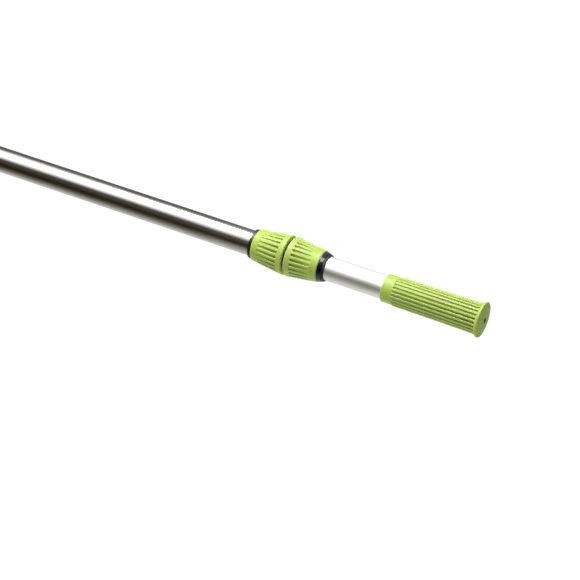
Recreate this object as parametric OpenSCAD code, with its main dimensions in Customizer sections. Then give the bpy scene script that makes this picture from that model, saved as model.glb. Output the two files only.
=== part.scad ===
// Two-section telescopic pole with an outside twist lock and a soft end grip.
// Millimetres. +X runs along the pole from the tool end to the grip.
// The origin is on the axis, at the mouth of the outer tube.

/* [Outer tube] */
// Outside diameter of the outer tube
outer_d = 30; // [25:0.5:36]
// Wall thickness of the outer tube
outer_wall = 0.75; // [0.6:0.05:1]
// Length of the outer tube
outer_len = 600; // [400:10:1500]

/* [Tool socket] */
// Depth of the reamed socket that takes a tool's handle
socket_len = 100; // [80:5:150]
// Amount that the socket is reamed, on the radius
socket_ream = 0.05; // [0.03:0.01:0.1]
// Length of the taper where the reamed socket meets the plain bore
socket_taper = 2; // [1:0.5:4]
// Diameter of the holes that a tool's spring clip snaps into
clip_hole_d = 8; // [5:0.5:10]
// Distance from the mouth to the first pair of clip holes
clip_inset = 32; // [20:1:40]
// Distance between the two pairs of clip holes
clip_pitch = 50; // [15:1:58]

/* [Inner section] */
// Gap between the two tubes, on the radius
tube_gap = 0.3; // [0.25:0.05:0.5]
// Wall thickness of the inner tube
inner_wall = 0.8; // [0.6:0.05:1]
// Length of the inner tube
inner_len = 600; // [400:10:1500]
// Length of inner tube that shows between the lock and the grip
shown_len = 71.5; // [5:0.5:200]
// Depth of the plug in the hidden end of the inner tube
plug_depth = 20; // [14:1:30]
// Thickness of that plug's flange
plug_flange = 2; // [1.5:0.5:3]
// Diameter of the stem that carries the guide ring
stem_d = 14; // [11:0.5:17]
// Length of the guide ring
guide_len = 14; // [10:1:24]
// Diameter of the pin that holds the plug
plug_pin_d = 3; // [2:0.5:4]
// Thickness of the clip that keeps the guide ring on its stem
clip_t = 1.2; // [0.8:0.1:1.5]

/* [Lock] */
// Length of the rear half of the collar
rear_len = 41.5; // [35:0.5:55]
// Length of the front half of the collar
front_len = 40; // [36:0.5:50]
// Gap between the two halves when the lock is tight
collar_gap = 3.3; // [2:0.1:4]
// Height of the collar's widest rims above the outer tube
rim_rise = 8.6; // [8:0.1:11]
// Height of the collar's narrow ends above the outer tube
end_rise = 3.3; // [3:0.1:3.8]
// Share of the barrel's fall that is a straight taper, the rest being a curve
barrel_taper = 0.62; // [0.4:0.02:1]
// Plain rim beside the gap, before the grooves start
rim_len = 6.5; // [4:0.5:9]
// Number of grooves round each half of the collar
collar_grooves = 24; // [16:1:28]
// Width of a collar groove
collar_groove_w = 2.6; // [1.5:0.1:3]
// Angle of the first groove of the rear half
rear_phase = 5; // [0:1:15]
// Angle of the first groove of the front half
front_phase = 12.5; // [0:0.5:15]
// Amount that the tube's end is turned down to seat the lock body, on the radius
seat_turn = 0.2; // [0.16:0.02:0.3]
// Wall of the lock body over the outer tube
body_wall = 1.7; // [1.4:0.1:2]
// Length of the lip behind the rear half
lip_len = 4.1; // [3:0.1:6]
// Height of that lip above the outer tube
lip_rise = 2.5; // [2.1:0.1:2.9]
// Wall between the end of the outer tube and the collar's gap
shoulder_len = 5; // [4:0.5:8]
// Length of the threaded spigot ahead of the gap
spigot_len = 21; // [18:0.5:23]
// Height of the thread above the outer tube
thread_rise = 2.2; // [2:0.1:2.4]
// Wall of the nut over the thread
nut_wall = 2.1; // [1.8:0.1:2.3]
// Diameter of the rivets that fix the lock body
rivet_d = 4; // [3:0.5:5]
// Distance from the collar's gap back to the rivets
rivet_back = 29; // [24:1:32]

/* [Collet and nose] */
// Depth of the cone that squeezes the collet
cone_depth = 8; // [6:0.5:10]
// Thickness of the collet at its thin end
collet_wall = 1; // [0.8:0.1:1.2]
// Length of the collet's head
head_len = 11.6; // [8:0.2:12]
// Number of slots in the collet
collet_slots = 6; // [4:1:8]
// Width of a collet slot
slot_w = 1.5; // [1:0.1:2]
// Thickness of the slip washer
washer_t = 1.5; // [1:0.1:2]
// Length of the nut's bevelled nose
nose_len = 4.5; // [3.5:0.1:6]
// Depth of the seat for the wiper ring
wiper_seat = 2.3; // [1.5:0.1:3]
// Length of the wiper ring that stands ahead of the nut
wiper_len = 3; // [3:0.1:6]
// Width of the groove between nut and wiper lip
wiper_groove = 0.6; // [0.4:0.1:1]

/* [Grip] */
// Length of the grip
grip_len = 121.7; // [100:0.1:150]
// Length of the plain neck of the grip
neck_len = 13.5; // [8:0.5:20]
// Wall of the plain neck
neck_wall = 2.45; // [2.35:0.05:3]
// Wall at the crests of the ribs, where they start
crest_wall = 3.3; // [3:0.1:4]
// Wall at the crests of the ribs, where they flare out
crest_end_wall = 4.15; // [3.6:0.05:5]
// Amount that the crests dip halfway along
waist_dip = 0.2; // [0:0.05:0.4]
// Wall left under the grooves
floor_wall = 2.3; // [1.8:0.05:2.3]
// Number of grooves round the grip
grip_grooves = 24; // [16:1:28]
// Width of a grip groove
grip_groove_w = 2.1; // [1.2:0.1:2.4]
// Angle of the first groove of the grip
grip_phase = 9; // [0:1:15]
// Wall at the rim of the end flange
flange_wall = 6.65; // [5.5:0.05:8]
// Thickness of the flange
flange_t = 1.8; // [1.5:0.1:4]
// Length over which the crests flare out to the flange
flare_len = 6.7; // [4:0.1:8]
// Height of the dome on the end face
dome_h = 2.2; // [0.5:0.1:3]
// Thickness of the wall that closes the grip
end_wall = 4; // [3:0.5:6]
// Diameter of the hole in the end of the grip
vent_d = 4.5; // [3:0.5:5]
// Depth of the plug inside the grip end of the tube
cap_depth = 15; // [10:1:25]
// Diameter of the hole through that plug
cap_bore_d = 6; // [5.5:0.5:10]

/* [Fits] */
// Running clearance of sliding and turning pieces, on the radius
run_fit = 0.05; // [0.03:0.01:0.08]
// Clearance between the threads, on the radius
thread_fit = 0.1; // [0.05:0.01:0.15]
// Clearance round the collet and its washer, on the radius
collet_fit = 0.2; // [0.1:0.05:0.3]
// End float of the guide ring, at each end
end_float = 0.3; // [0.2:0.05:0.5]
// Gap that the cone still has to close when the lock is hand tight
squeeze = 0.4; // [0.3:0.1:0.8]

/* [Hidden] */
$fn = 96;
LIME = "YellowGreen";
BLACK = "#202022";
NATURAL = "Ivory";
cut = 1;               // how far a cutting tool runs past the face that it cuts
edge = 0.8;            // small broken edge on moulded plastic
soft_edge = 1.5;       // rounded edge on the soft sleeves and the grip
barrel_steps = 8;      // straight stretches in the outline of each barrel
waist_steps = 8;       // straight stretches in the outline of the grip
arc_steps = 4;         // straight stretches in a rounded edge

// Radii of the tubes
outer_r = outer_d / 2;
bore_r = outer_r - outer_wall;
socket_r = bore_r + socket_ream;
inner_r = bore_r - tube_gap;
inner_bore_r = inner_r - inner_wall;

// Radii of the collar and lock
seat_r = outer_r - seat_turn;
rim_r = outer_r + rim_rise;
end_r = outer_r + end_rise;
seat_end_r = outer_r + body_wall;
lip_r = outer_r + lip_rise;
thread_r = outer_r + thread_rise;
nut_bore_r = thread_r + thread_fit;
nut_r = nut_bore_r + nut_wall;
neck_ring_r = nut_r - 0.4;
groove_floor_r = nut_r + 0.8;
nut_tip_r = end_r - 1.5;
throat_r = inner_r + run_fit;
cone_r0 = throat_r + collet_wall + 0.05;
cone_r1 = thread_r - 1.2;
chamber_r = nut_bore_r - 0.7;
head_r = chamber_r - collet_fit;
nose_r = end_r - 0.1;
nose_tip_r = nose_r - 1.3;
wiper_seat_r = nose_tip_r - 1.3;
wiper_r = nose_tip_r - 0.5;
nose_bore_r = inner_r + 0.35;

// Stations of the collar and lock along the pole
gap_x = outer_len + shoulder_len;
rear_x = gap_x - rear_len;
lip_x = rear_x - lip_len;
nut_x = gap_x + collar_gap;
tip_x = nut_x + front_len;
spigot_x = gap_x + spigot_len;
cone_x = spigot_x - cone_depth;
collet_x = cone_x + squeeze;
head_x = spigot_x + squeeze;
washer_x = head_x + head_len;
shoulder_x = washer_x + washer_t + 0.1;
nose_x = tip_x + nose_len;
wiper_x = nose_x + wiper_len;

// Stations of the inner section
grip_x = wiper_x + shown_len;
grip_end_x = grip_x + grip_len;
cap_x = grip_end_x - end_wall - 2;
inner_x = cap_x - inner_len;
plug_x = inner_x - plug_flange;
guide_x = plug_x - end_float - guide_len;
clip_x = guide_x - end_float - clip_t;
stem_x = clip_x - 1.5;
pin_x = inner_x + plug_depth / 2;

// Height of the barrel at a distance from the collar's gap
function barrel_r(d, length) =
    rim_r - (rim_r - end_r) * (barrel_taper * d / length + (1 - barrel_taper) * pow(d / length, 2));

// Points of an arc about [r, x], as [radius, station] pairs
function arc(r, x, size, from, to) =
    [for (i = [0 : arc_steps])
        let (a = from + (to - from) * i / arc_steps) [r + size * cos(a), x + size * sin(a)]];

// Outline of one barrel from its rim to its end: distance from the gap and radius
function barrel_line(length) =
    [for (i = [0 : barrel_steps])
        let (d = soft_edge + (length - 2 * soft_edge) * i / barrel_steps) [d, barrel_r(d, length)]];

// Height of the rib crests at a share of the way from neck to flare
function crest_r(share) =
    inner_r + crest_wall + (crest_end_wall - crest_wall) * share - waist_dip * sin(180 * share);

// Turns an outline of [radius, station] points about the pole's axis
module turned(points) {
    rotate([0, 90, 0]) rotate_extrude() polygon(points);
}

// A solid rod or drill along the pole
module rod(radius, from, to) {
    translate([from, 0, 0]) rotate([0, 90, 0]) cylinder(h = to - from, r = radius);
}

// A plain tube along the pole
module pipe(outside, inside, from, to) {
    turned([[inside, from], [outside, from], [outside, to], [inside, to]]);
}

// Straight cutters spaced round the axis, from a floor outwards
module groove_cutters(count, width, floor_radius, top_radius, from, to, phase) {
    for (i = [0 : count - 1])
        rotate([phase + 360 * i / count, 0, 0])
            translate([from, floor_radius, -width / 2])
                cube([to - from, top_radius - floor_radius, width]);
}

// Drawn aluminium tube, reamed at the mouth, cross-drilled for a spring clip and turned down at the lock
module outer_tube() color("Silver") difference() {
    turned([
        [bore_r, 0], [outer_r, 0], [outer_r, lip_x], [seat_r, lip_x], [seat_r, outer_len],
        [bore_r, outer_len]]);
    turned([
        [0, -cut], [socket_r, -cut], [socket_r, socket_len],
        [bore_r - socket_ream, socket_len + 2 * socket_taper], [0, socket_len + 2 * socket_taper]]);
    for (x = [clip_inset, clip_inset + clip_pitch])
        translate([x, 0, 0]) rotate([90, 0, 0])
            cylinder(h = outer_d + 2 * cut, d = clip_hole_d, center = true);
    rivet_drills();
}

// Moulded body on the end of the outer tube, with the lip, the spigot and the collet's cone
module lock_body() color(BLACK) difference() {
    turned([
        [seat_r, lip_x], [lip_r - edge, lip_x], [lip_r, lip_x + edge], [lip_r, rear_x],
        [seat_end_r, rear_x], [neck_ring_r, gap_x], [neck_ring_r, nut_x - 0.5],
        [thread_r, nut_x - 0.5], [thread_r, spigot_x - edge], [thread_r - edge, spigot_x],
        [cone_r1, spigot_x], [cone_r0, cone_x], [throat_r, cone_x],
        [throat_r, outer_len], [seat_r, outer_len]]);
    rivet_drills();
}

// Radius of the lock body's seat at the rivets
function seat_r_at(x) = seat_end_r + (neck_ring_r - seat_end_r) * (x - rear_x) / rear_len;

// Places the two rivets, one each side, pointing outwards along +Z of the child
module at_rivets() {
    for (side = [-90, 90])
        translate([gap_x - rivet_back, 0, 0]) rotate([side, 0, 0]) children();
}

module rivet_drills() {
    at_rivets() translate([0, 0, bore_r / 2]) cylinder(h = rim_r, d = rivet_d);
}

// Flush rivets through the lock body and the tube wall
module body_rivets() color("Gainsboro") at_rivets()
    translate([0, 0, bore_r])
        cylinder(h = seat_r_at(gap_x - rivet_back - rivet_d / 2) - 0.3 - bore_r, d = rivet_d);

// Soft ribbed sleeve on the lock body
module rear_sleeve() color(LIME) difference() {
    line = barrel_line(rear_len);
    turned(concat(
        [[neck_ring_r, gap_x], [seat_end_r, rear_x], [end_r - soft_edge / 2, rear_x]],
        [for (i = [barrel_steps : -1 : 0]) [line[i][1], gap_x - line[i][0]]],
        [[rim_r - soft_edge / 2, gap_x]]));
    groove_cutters(collar_grooves, collar_groove_w, groove_floor_r, rim_r + cut,
                   rear_x - cut, gap_x - rim_len, rear_phase);
}

// Split collar of slippery plastic that grips the inner tube
module collet() color(NATURAL) difference() {
    slope = (cone_r1 - cone_r0) / cone_depth;
    tail_r = cone_r0 + slope * squeeze - 0.1;
    turned([
        [throat_r, collet_x], [tail_r, collet_x], [cone_r1 - 0.1, spigot_x],
        [cone_r1 - 0.1, head_x], [head_r, head_x], [head_r, washer_x], [throat_r, washer_x]]);
    for (i = [0 : collet_slots - 1])
        rotate([360 * i / collet_slots, 0, 0])
            translate([collet_x - cut, 0, -slot_w / 2])
                cube([cone_depth + head_len / 2 + cut, head_r + cut, slot_w]);
}

// Washer that keeps the nut from winding the collet
module slip_washer() color(NATURAL)
    pipe(head_r, throat_r + collet_fit, washer_x, washer_x + washer_t);

// Nut with the inner thread, the shoulder that pushes the collet and the bevelled nose
module lock_nut() color(BLACK) turned([
    [nut_bore_r, nut_x], [nut_r, nut_x], [nut_r, nut_x + front_len / 2],
    [nut_tip_r, tip_x], [nose_r, tip_x], [nose_r, tip_x + nose_len / 4],
    [nose_tip_r, nose_x], [wiper_seat_r, nose_x], [wiper_seat_r, nose_x - wiper_seat],
    [nose_bore_r, nose_x - wiper_seat], [nose_bore_r, shoulder_x],
    [chamber_r, shoulder_x], [chamber_r, spigot_x + 0.2], [nut_bore_r, spigot_x + 0.2]]);

// Soft ribbed sleeve on the nut
module front_sleeve() color(LIME) difference() {
    line = barrel_line(front_len);
    turned(concat(
        [[nut_tip_r, tip_x], [nut_r, nut_x + front_len / 2], [nut_r, nut_x],
         [rim_r - soft_edge / 2, nut_x]],
        [for (point = line) [point[1], nut_x + point[0]]],
        [[end_r - soft_edge / 2, tip_x]]));
    groove_cutters(collar_grooves, collar_groove_w, groove_floor_r, rim_r + cut,
                   nut_x + rim_len, tip_x + cut, front_phase);
}

// Rubber ring that wipes the inner tube and closes the nose
module wiper_ring() color(BLACK) turned([
    [throat_r, nose_x - wiper_seat], [wiper_seat_r, nose_x - wiper_seat],
    [wiper_seat_r, nose_x + wiper_groove], [wiper_r, nose_x + wiper_groove],
    [wiper_r, nose_x + wiper_len / 2], [wiper_r - edge, wiper_x], [throat_r, wiper_x]]);

// Ring that centres the inner section in the outer tube and stops it pulling out
module guide_ring() color(NATURAL)
    pipe(bore_r - run_fit, stem_d / 2 + run_fit, guide_x, guide_x + guide_len);

// Drawn aluminium tube of the sliding section
module inner_tube() color("Silver") difference() {
    pipe(inner_r, inner_bore_r, inner_x, cap_x);
    pin_drill();
}

module pin_drill() {
    translate([pin_x, 0, 0]) cylinder(h = outer_d, d = plug_pin_d, center = true);
}

// Plug in the hidden end of the inner tube, with the guide ring's stem
module end_plug() color(BLACK) difference() {
    turned([
        [0, stem_x], [stem_d / 2, stem_x], [stem_d / 2, clip_x],
        [stem_d / 2 - 1, clip_x], [stem_d / 2 - 1, clip_x + clip_t],
        [stem_d / 2, clip_x + clip_t], [stem_d / 2, plug_x], [inner_r - 0.05, plug_x],
        [inner_r - 0.05, inner_x], [inner_bore_r, inner_x],
        [inner_bore_r, inner_x + plug_depth], [0, inner_x + plug_depth]]);
    pin_drill();
}

// Pin across the plug, flush with the tube
module plug_pin() color("Gainsboro") translate([pin_x, 0, 0])
    cylinder(h = 2 * (inner_r - 0.15), d = plug_pin_d, center = true);

// Clip that snaps into the stem's groove behind the guide ring
module retaining_clip() color("Gainsboro") difference() {
    pipe(stem_d / 2 + 3, stem_d / 2 - 1, clip_x, clip_x + clip_t);
    translate([clip_x - cut, 0, -stem_d / 4])
        cube([clip_t + 2 * cut, stem_d, stem_d / 2]);
}

// Soft grip with a plain neck, ribs that dip at the waist and a domed end flange
module grip() color(LIME) difference() {
    neck_r = inner_r + neck_wall;
    flange_r = inner_r + flange_wall;
    ribs_x = grip_x + neck_len;
    flare_x = grip_end_x - dome_h - flange_t - flare_len;
    face_x = grip_end_x - dome_h;
    turned(concat(
        [[0, grip_end_x - end_wall], [inner_r, grip_end_x - end_wall], [inner_r, grip_x]],
        arc(neck_r - soft_edge, grip_x + soft_edge, soft_edge, -90, 0),
        [[neck_r, ribs_x]],
        [for (i = [0 : waist_steps])
            [crest_r(i / waist_steps), ribs_x + edge + (flare_x - ribs_x - edge) * i / waist_steps]],
        [[flange_r, face_x - flange_t + edge / 2], [flange_r, face_x - edge],
         [flange_r - edge, face_x], [flange_r / 2, grip_end_x - dome_h / 4], [0, grip_end_x]]));
    groove_cutters(grip_grooves, grip_groove_w, inner_r + floor_wall, inner_r + flange_wall,
                   ribs_x + edge / 2, flare_x + edge, grip_phase);
    rod(vent_d / 2, grip_end_x - end_wall - cut, grip_end_x + cut);
}

// Plug in the grip end of the inner tube, which keeps its edge off the grip's end wall
module grip_plug() color(BLACK) turned([
    [cap_bore_d / 2, cap_x - cap_depth], [inner_bore_r, cap_x - cap_depth],
    [inner_bore_r, cap_x], [inner_r - 0.05, cap_x], [inner_r - 0.05, grip_end_x - end_wall],
    [cap_bore_d / 2, grip_end_x - end_wall]]);

outer_tube();
lock_body();
body_rivets();
rear_sleeve();
collet();
slip_washer();
lock_nut();
front_sleeve();
wiper_ring();
guide_ring();
inner_tube();
end_plug();
plug_pin();
retaining_clip();
grip();
grip_plug();
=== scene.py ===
# %% [markdown]
# # A telescopic pole with a twist lock
# The pole is two drawn aluminium tubes, one inside the other. A collar in two soft ribbed halves closes a
# collet on the inner tube, and a soft ribbed grip sits on the end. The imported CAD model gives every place
# and every main size. This lesson builds the finished surfaces round it: round edges, real grooves, a real
# thread and materials with the marks of how each piece was made.

# %% Load the frame
import bpy
import bmesh
import math
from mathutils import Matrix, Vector


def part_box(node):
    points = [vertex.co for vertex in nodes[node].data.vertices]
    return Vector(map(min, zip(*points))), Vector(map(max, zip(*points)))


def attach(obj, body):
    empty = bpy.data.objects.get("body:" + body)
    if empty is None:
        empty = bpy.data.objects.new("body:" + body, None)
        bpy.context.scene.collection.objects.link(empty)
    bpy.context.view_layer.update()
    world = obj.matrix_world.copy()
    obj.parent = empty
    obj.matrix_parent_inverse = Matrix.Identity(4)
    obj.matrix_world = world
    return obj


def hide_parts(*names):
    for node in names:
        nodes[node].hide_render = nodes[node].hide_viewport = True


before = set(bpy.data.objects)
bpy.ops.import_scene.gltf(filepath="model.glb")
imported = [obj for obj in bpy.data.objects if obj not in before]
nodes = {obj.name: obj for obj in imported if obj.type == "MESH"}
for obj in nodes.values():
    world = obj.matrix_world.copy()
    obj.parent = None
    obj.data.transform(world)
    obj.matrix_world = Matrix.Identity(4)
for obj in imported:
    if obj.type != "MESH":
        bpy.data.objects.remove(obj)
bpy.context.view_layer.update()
MM = 0.001


# %% [markdown]
# ## Measuring the frame
# Everything on the pole is turned about the X axis, so four numbers describe a CAD piece well enough to
# build on: where it starts and stops along X, and its smallest and largest radius. They are measured from
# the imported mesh, so a change in the CAD source reaches this script by itself.

# %% A piece's reach along the pole and out from its axis
def reach(node):
    """Start, stop, smallest radius and largest radius of a CAD node, in metres."""
    low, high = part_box(node)
    radii = [math.hypot(v.co.y, v.co.z) for v in nodes[node].data.vertices]
    return low.x, high.x, min(radii), max(radii)


mouth_x, tube_end_x, bore_r, outer_r = reach("outer_tube")
lip_x, spigot_x, throat_r, neck_r = reach("lock_body")
rear_x, gap_x, rear_seat_r, rim_r = reach("rear_sleeve")
nut_x, nose_x, nose_bore_r, nut_r = reach("lock_nut")
_, tip_x, nut_tip_r, _ = reach("front_sleeve")
wiper_back_x, wiper_x, _, wiper_r = reach("wiper_ring")
inner_start_x, inner_stop_x, inner_bore_r, inner_r = reach("inner_tube")
grip_x, grip_end_x, vent_r, flange_r = reach("grip")
print("outer tube radius", round(outer_r / MM, 2), "inner tube radius", round(inner_r / MM, 2))
print("collar from", round(lip_x / MM, 1), "to", round(wiper_x / MM, 1), "grip from", round(grip_x / MM, 1))


# %% [markdown]
# ## Camera
# The camera looks down on the pole from in front and a little from the grip's end. Its long lens keeps the
# edges of a tube nearly parallel. It aims just under the collar, so the pole comes down from the upper left
# of the frame. Depth of field stays off and there is no shift, so the same camera serves every other angle.

# %% Make the camera
VIEW_AZIMUTH, VIEW_ELEVATION = 27.82, 40.05
VIEW_DISTANCE = 2.5424
AIM_PAST_GAP, AIM_BELOW = 0.0012, 0.0511
LONG_LENS, SENSOR_WIDTH = 136.55, 36.0


def aimed_camera(aim, azimuth, elevation, distance):
    """A camera at a distance from its aim. Azimuth runs from the front towards the grip's end."""
    a, e = math.radians(azimuth), math.radians(elevation)
    back = Vector((math.sin(a) * math.cos(e), -math.cos(a) * math.cos(e), math.sin(e)))
    data = bpy.data.cameras.new("camera")
    data.lens, data.sensor_width, data.clip_end = LONG_LENS, SENSOR_WIDTH, 50.0
    camera = bpy.data.objects.new("camera", data)
    camera.location = Vector(aim) + back * distance
    camera.rotation_euler = back.to_track_quat("Z", "Y").to_euler()
    bpy.context.scene.collection.objects.link(camera)
    return camera


aim_point = (gap_x + AIM_PAST_GAP, 0, -AIM_BELOW)
camera = aimed_camera(aim_point, VIEW_AZIMUTH, VIEW_ELEVATION, VIEW_DISTANCE)
bpy.context.scene.camera = camera
print("camera at", [round(v, 3) for v in camera.location])


# %% [markdown]
# ## One helper for every node
# Materials, the world and the Geometry Nodes trees are all built from nodes. One small function adds a
# node, sets its properties, and fills each input with a value or links it to another node's output. A
# colour ramp's stops count as one of its properties.

# %% Helpers for nodes and colours
def linear(code):
    """An sRGB hex colour as the linear red, green, blue and alpha that Blender mixes."""
    channels = [int(code[i:i + 2], 16) / 255 for i in (1, 3, 5)]
    return [c / 12.92 if c <= 0.04045 else ((c + 0.055) / 1.055) ** 2.4 for c in channels] + [1.0]


def place_stops(color_ramp, stops):
    """Gives a colour ramp its (place, hex colour) stops, in rising order."""
    while len(color_ramp.elements) < len(stops):
        color_ramp.elements.new(0.5)
    for element, (place, code) in zip(color_ramp.elements, stops):
        element.position, element.color = place, linear(code)


def add(tree, kind, settings=None, inputs=None):
    """Adds a node. A setting is one of its properties, or the stops of its colour ramp. An input's key is its
    name or number, and its value is a number or another node's socket."""
    node = tree.nodes.new(kind)
    for key, value in (settings or {}).items():
        if key == "stops":
            place_stops(node.color_ramp, value)
        else:
            setattr(node, key, value)
    for key, value in (inputs or {}).items():
        if isinstance(value, bpy.types.NodeSocket):
            tree.links.new(value, node.inputs[key])
        else:
            node.inputs[key].default_value = value
    return node


print("linear value of a mid grey:", round(linear("#808080")[0], 3))


# %% [markdown]
# ## Studio
# Bright metal shows what stands round it, so the studio is drawn first. A polished tube with a white stripe
# above and a dark stripe below it is looking at a wide softbox overhead and at the dark room in front. The
# world is a ramp round the pole's axis: white overhead, dark towards the room, pale towards the paper on
# the floor. The two tubes mirror different parts of the studio, so there are two sets of greys, one for
# directions towards the tool end and one for directions towards the grip.
#
# The ramp is only for mirrored rays. Diffuse surfaces get a dim, even fill instead, so that a dark stripe
# in the metal doesn't also darken the rubber. Both are dimmed in directions past the grip, which sets its
# end face apart from its side. Rays from the camera itself see plain white, so the background stays clean
# from every side. The floor doesn't show in reflections, because the ramp already holds the paper's
# paleness where it belongs.
#
# Three area lights face the collar. A large softbox over the tool end and a small one over the grip shape
# the rubber. The strip light is seen by gloss only: it draws a line of light on rounded black and green
# edges and leaves their colour alone.

# %% The world, as a ramp of light round the pole
ROUND_THE_POLE = [  # angle up from the room in front, grey towards the tool end, grey towards the grip
    (-180, "#4C4C4C", "#B4B4B4"), (-150, "#6C6C6C", "#C0C0C0"), (-132, "#8A8A88", "#8C8C8A"),
    (-115, "#A6A6A4", "#DCDCDA"), (-93, "#A8A8A6", "#E4E4E2"), (-65, "#84837F", "#F0EFEC"),
    (-44, "#5E5C54", "#ECEBE8"), (-27, "#3A372E", "#C4C2BA"), (-12, "#1C1910", "#6E6B63"),
    (3, "#1E1B13", "#3A362C"), (17, "#302D26", "#3C3930"), (43, "#3F3E3A", "#66645E"),
    (56, "#A8A8A8", "#ACACAA"), (70, "#F0F0F0", "#FFFFFF"), (84, "#FFFFFF", "#FFFFFF"),
    (114, "#FFFFFF", "#FFFFFF"), (130, "#B4B4B4", "#FFFFFF"), (150, "#4E4E4E", "#CCCCCC"),
    (180, "#4C4C4C", "#B4B4B4"),
]
TOWARDS_TOOL, TOWARDS_GRIP = -0.378, -0.338  # the direction's X where one set of greys gives way to the other
MIRRORED_STRENGTH, FILL_STRENGTH, BACKGROUND_STRENGTH = 1.6, 0.56, 1.1
BEYOND_THE_GRIP, DIMMED_FROM_X = 0.45, 0.4


def studio_world():
    """The world: a ramp for mirrored rays, a fill for diffuse rays and white for the camera."""
    world = bpy.data.worlds.new("studio")
    world.use_nodes = True
    tree = world.node_tree
    tree.nodes.clear()
    direction = add(tree, "ShaderNodeTexCoord").outputs["Generated"]
    axes = add(tree, "ShaderNodeSeparateXYZ", None, {0: direction}).outputs
    front = add(tree, "ShaderNodeMath", {"operation": "MULTIPLY"}, {0: axes["Y"], 1: -1.0}).outputs[0]
    angle = add(tree, "ShaderNodeMath", {"operation": "ARCTAN2"}, {0: axes["Z"], 1: front}).outputs[0]
    turn = add(tree, "ShaderNodeMapRange", None, {
        "Value": angle, "From Min": -math.pi, "From Max": math.pi}).outputs[0]
    greys = []
    for column in (1, 2):
        stops = [((row[0] + 180) / 360, row[column]) for row in ROUND_THE_POLE]
        greys.append(add(tree, "ShaderNodeValToRGB", {"stops": stops}, {"Fac": turn}).outputs["Color"])
    along = add(tree, "ShaderNodeMapRange", None, {
        "Value": axes["X"], "From Min": TOWARDS_TOOL, "From Max": TOWARDS_GRIP}).outputs[0]
    glow = add(tree, "ShaderNodeMix", {"data_type": "RGBA"}, {0: along, 6: greys[0], 7: greys[1]}).outputs[2]
    dimmed = add(tree, "ShaderNodeMapRange", None, {
        "Value": axes["X"], "From Min": 0.0, "From Max": DIMMED_FROM_X,
        "To Min": 1.0, "To Max": BEYOND_THE_GRIP}).outputs[0]
    white = linear("#FFFFFF")
    shown = []
    for colour, strength in ((glow, MIRRORED_STRENGTH), (white, FILL_STRENGTH)):
        power = add(tree, "ShaderNodeMath", {"operation": "MULTIPLY"}, {0: dimmed, 1: strength}).outputs[0]
        shown.append(add(tree, "ShaderNodeBackground", None, {"Color": colour, "Strength": power}).outputs[0])
    paper = add(tree, "ShaderNodeBackground", None, {"Color": white, "Strength": BACKGROUND_STRENGTH})
    path = add(tree, "ShaderNodeLightPath").outputs
    lit = add(tree, "ShaderNodeMixShader", None, {0: path["Is Diffuse Ray"], 1: shown[0], 2: shown[1]})
    mixed = add(tree, "ShaderNodeMixShader", None, {
        0: path["Is Camera Ray"], 1: lit.outputs[0], 2: paper.outputs[0]})
    add(tree, "ShaderNodeOutputWorld", None, {"Surface": mixed.outputs[0]})
    bpy.context.scene.world = world


studio_world()
bpy.context.scene.view_settings.view_transform = "Standard"
print("world ramp has", len(ROUND_THE_POLE), "stops")

# %% The floor and the softboxes
FLOOR_DROP, FLOOR_SIZE = 0.25, 14
PULP_SCALE = 900.0  # tufts of fibre in a metre
PAPER_GLOW = 1.05
SOFTBOXES = {  # place from the collar's gap in metres, size across the pole, height, and power in watts
    "overhead_softbox": ((-0.6, 0.3, 1.5), 0.9, 0.9, 31),
    "grip_softbox": ((0.1, 0.35, 1.3), 0.5, 0.5, 3),
    "strip_light": ((0.44, -0.2, 1.25), 1.5, 0.35, 16),
}


def paper_floor():
    """A wide sheet of pale paper. The camera sees it fully white, and it throws some light back up."""
    bpy.ops.mesh.primitive_plane_add(size=FLOOR_SIZE, location=(gap_x, 0, -FLOOR_DROP))
    floor = bpy.context.object
    floor.name = "floor"
    material = bpy.data.materials.new("white_paper")
    material.use_nodes = True
    tree = material.node_tree
    tree.nodes.clear()
    place = add(tree, "ShaderNodeTexCoord").outputs["Object"]
    pulp = add(tree, "ShaderNodeTexNoise", None, {
        "Vector": place, "Scale": PULP_SCALE, "Detail": 3.0}).outputs[0]
    shade = add(tree, "ShaderNodeValToRGB", {"stops": [(0.3, "#DCDCDB"), (0.7, "#E6E6E5")]}, {"Fac": pulp})
    white = add(tree, "ShaderNodeValToRGB", {"stops": [(0.3, "#FEFEFE"), (0.7, "#FFFFFF")]}, {"Fac": pulp})
    sheet = add(tree, "ShaderNodeBsdfDiffuse", None, {"Color": shade.outputs["Color"]}).outputs[0]
    glow = add(tree, "ShaderNodeEmission", None, {
        "Color": white.outputs["Color"], "Strength": PAPER_GLOW}).outputs[0]
    seen = add(tree, "ShaderNodeLightPath").outputs["Is Camera Ray"]
    mixed = add(tree, "ShaderNodeMixShader", None, {0: seen, 1: sheet, 2: glow}).outputs[0]
    add(tree, "ShaderNodeOutputMaterial", None, {"Surface": mixed})
    floor.data.materials.append(material)
    floor.visible_glossy = False


def softbox(name, place, across, height, power):
    """An area light that faces the collar."""
    data = bpy.data.lights.new(name, "AREA")
    data.shape, data.size, data.size_y, data.energy = "RECTANGLE", across, height, power
    light = bpy.data.objects.new(name, data)
    light.location = place
    light.rotation_euler = (Vector((gap_x, 0, 0)) - Vector(place)).to_track_quat("-Z", "Y").to_euler()
    bpy.context.scene.collection.objects.link(light)
    return light


paper_floor()
lights = {name: softbox(name, (gap_x + x, y, z), *sizes) for name, ((x, y, z), *sizes) in SOFTBOXES.items()}
lights["strip_light"].visible_diffuse = False
print("lights:", sorted(lights))


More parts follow.
